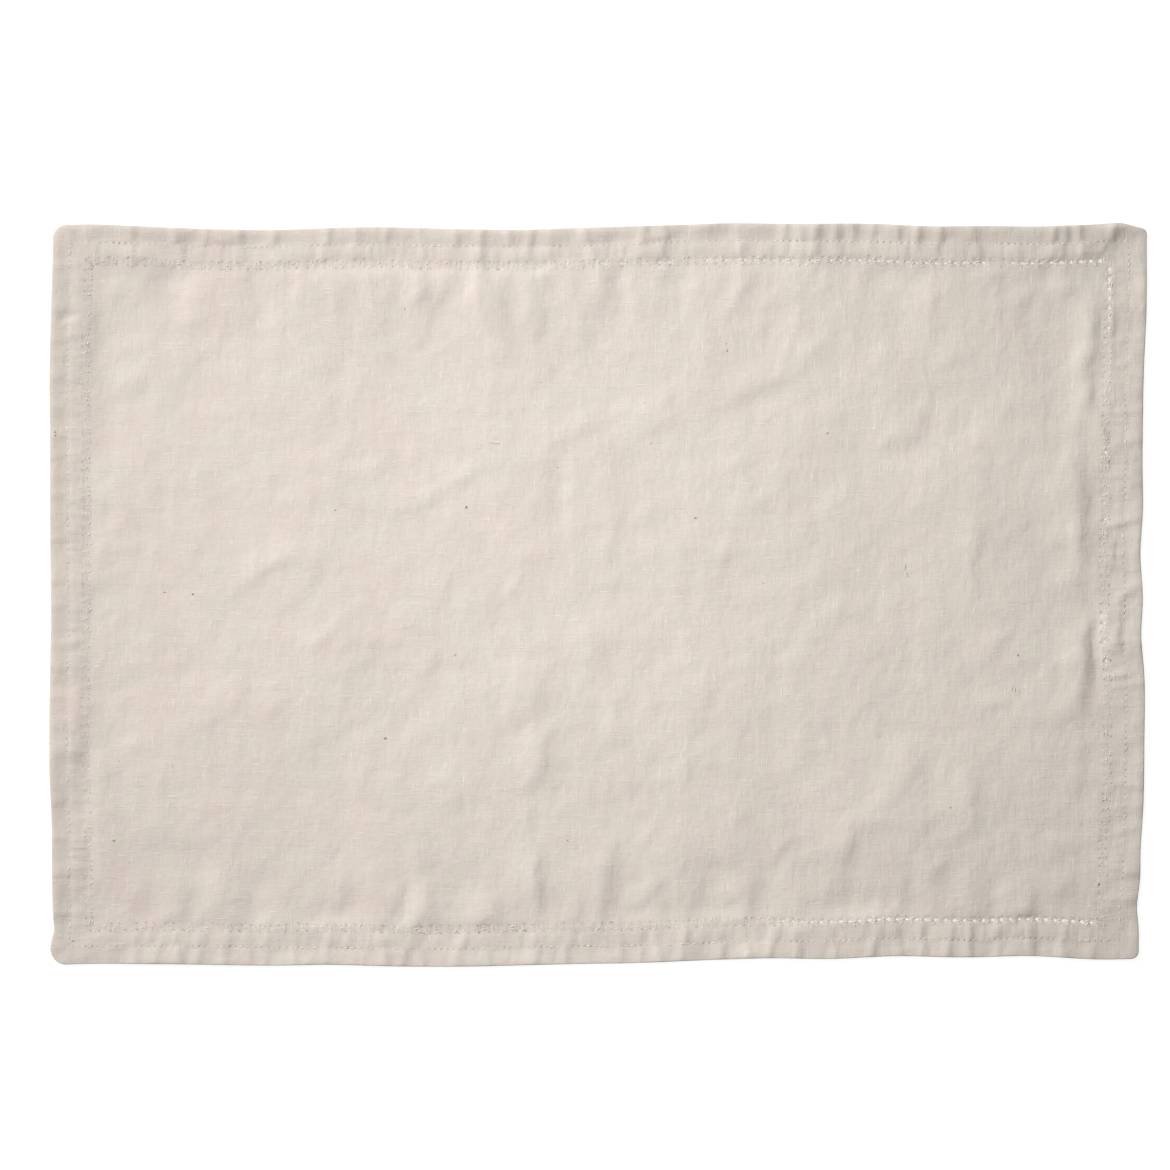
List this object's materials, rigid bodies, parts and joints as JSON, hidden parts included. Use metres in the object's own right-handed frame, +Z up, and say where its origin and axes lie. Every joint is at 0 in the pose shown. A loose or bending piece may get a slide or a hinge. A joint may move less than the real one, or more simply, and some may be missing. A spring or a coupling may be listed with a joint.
{
  "type": "linen placemat",
  "caption": "Rectangular washed linen placemat lying flat, with a mitred hem, a hemstitched border line, gently wavy edges and soft creases.",
  "frame": {"origin": "middle of the mat's bounding rectangle, on the surface it lies on", "axes": "+X along the long sides, +Y along the short sides, +Z up out of the cloth's right side"},
  "size_m": [0.5018, 0.34, 0.0025],
  "materials": {
    "linen": "undyed plain-weave linen, washed soft, matt, with slubs and a few dark flecks"
  },
  "bodies": {
    "root": {"linen_mat": "linen"}
  },
  "joints": []
}
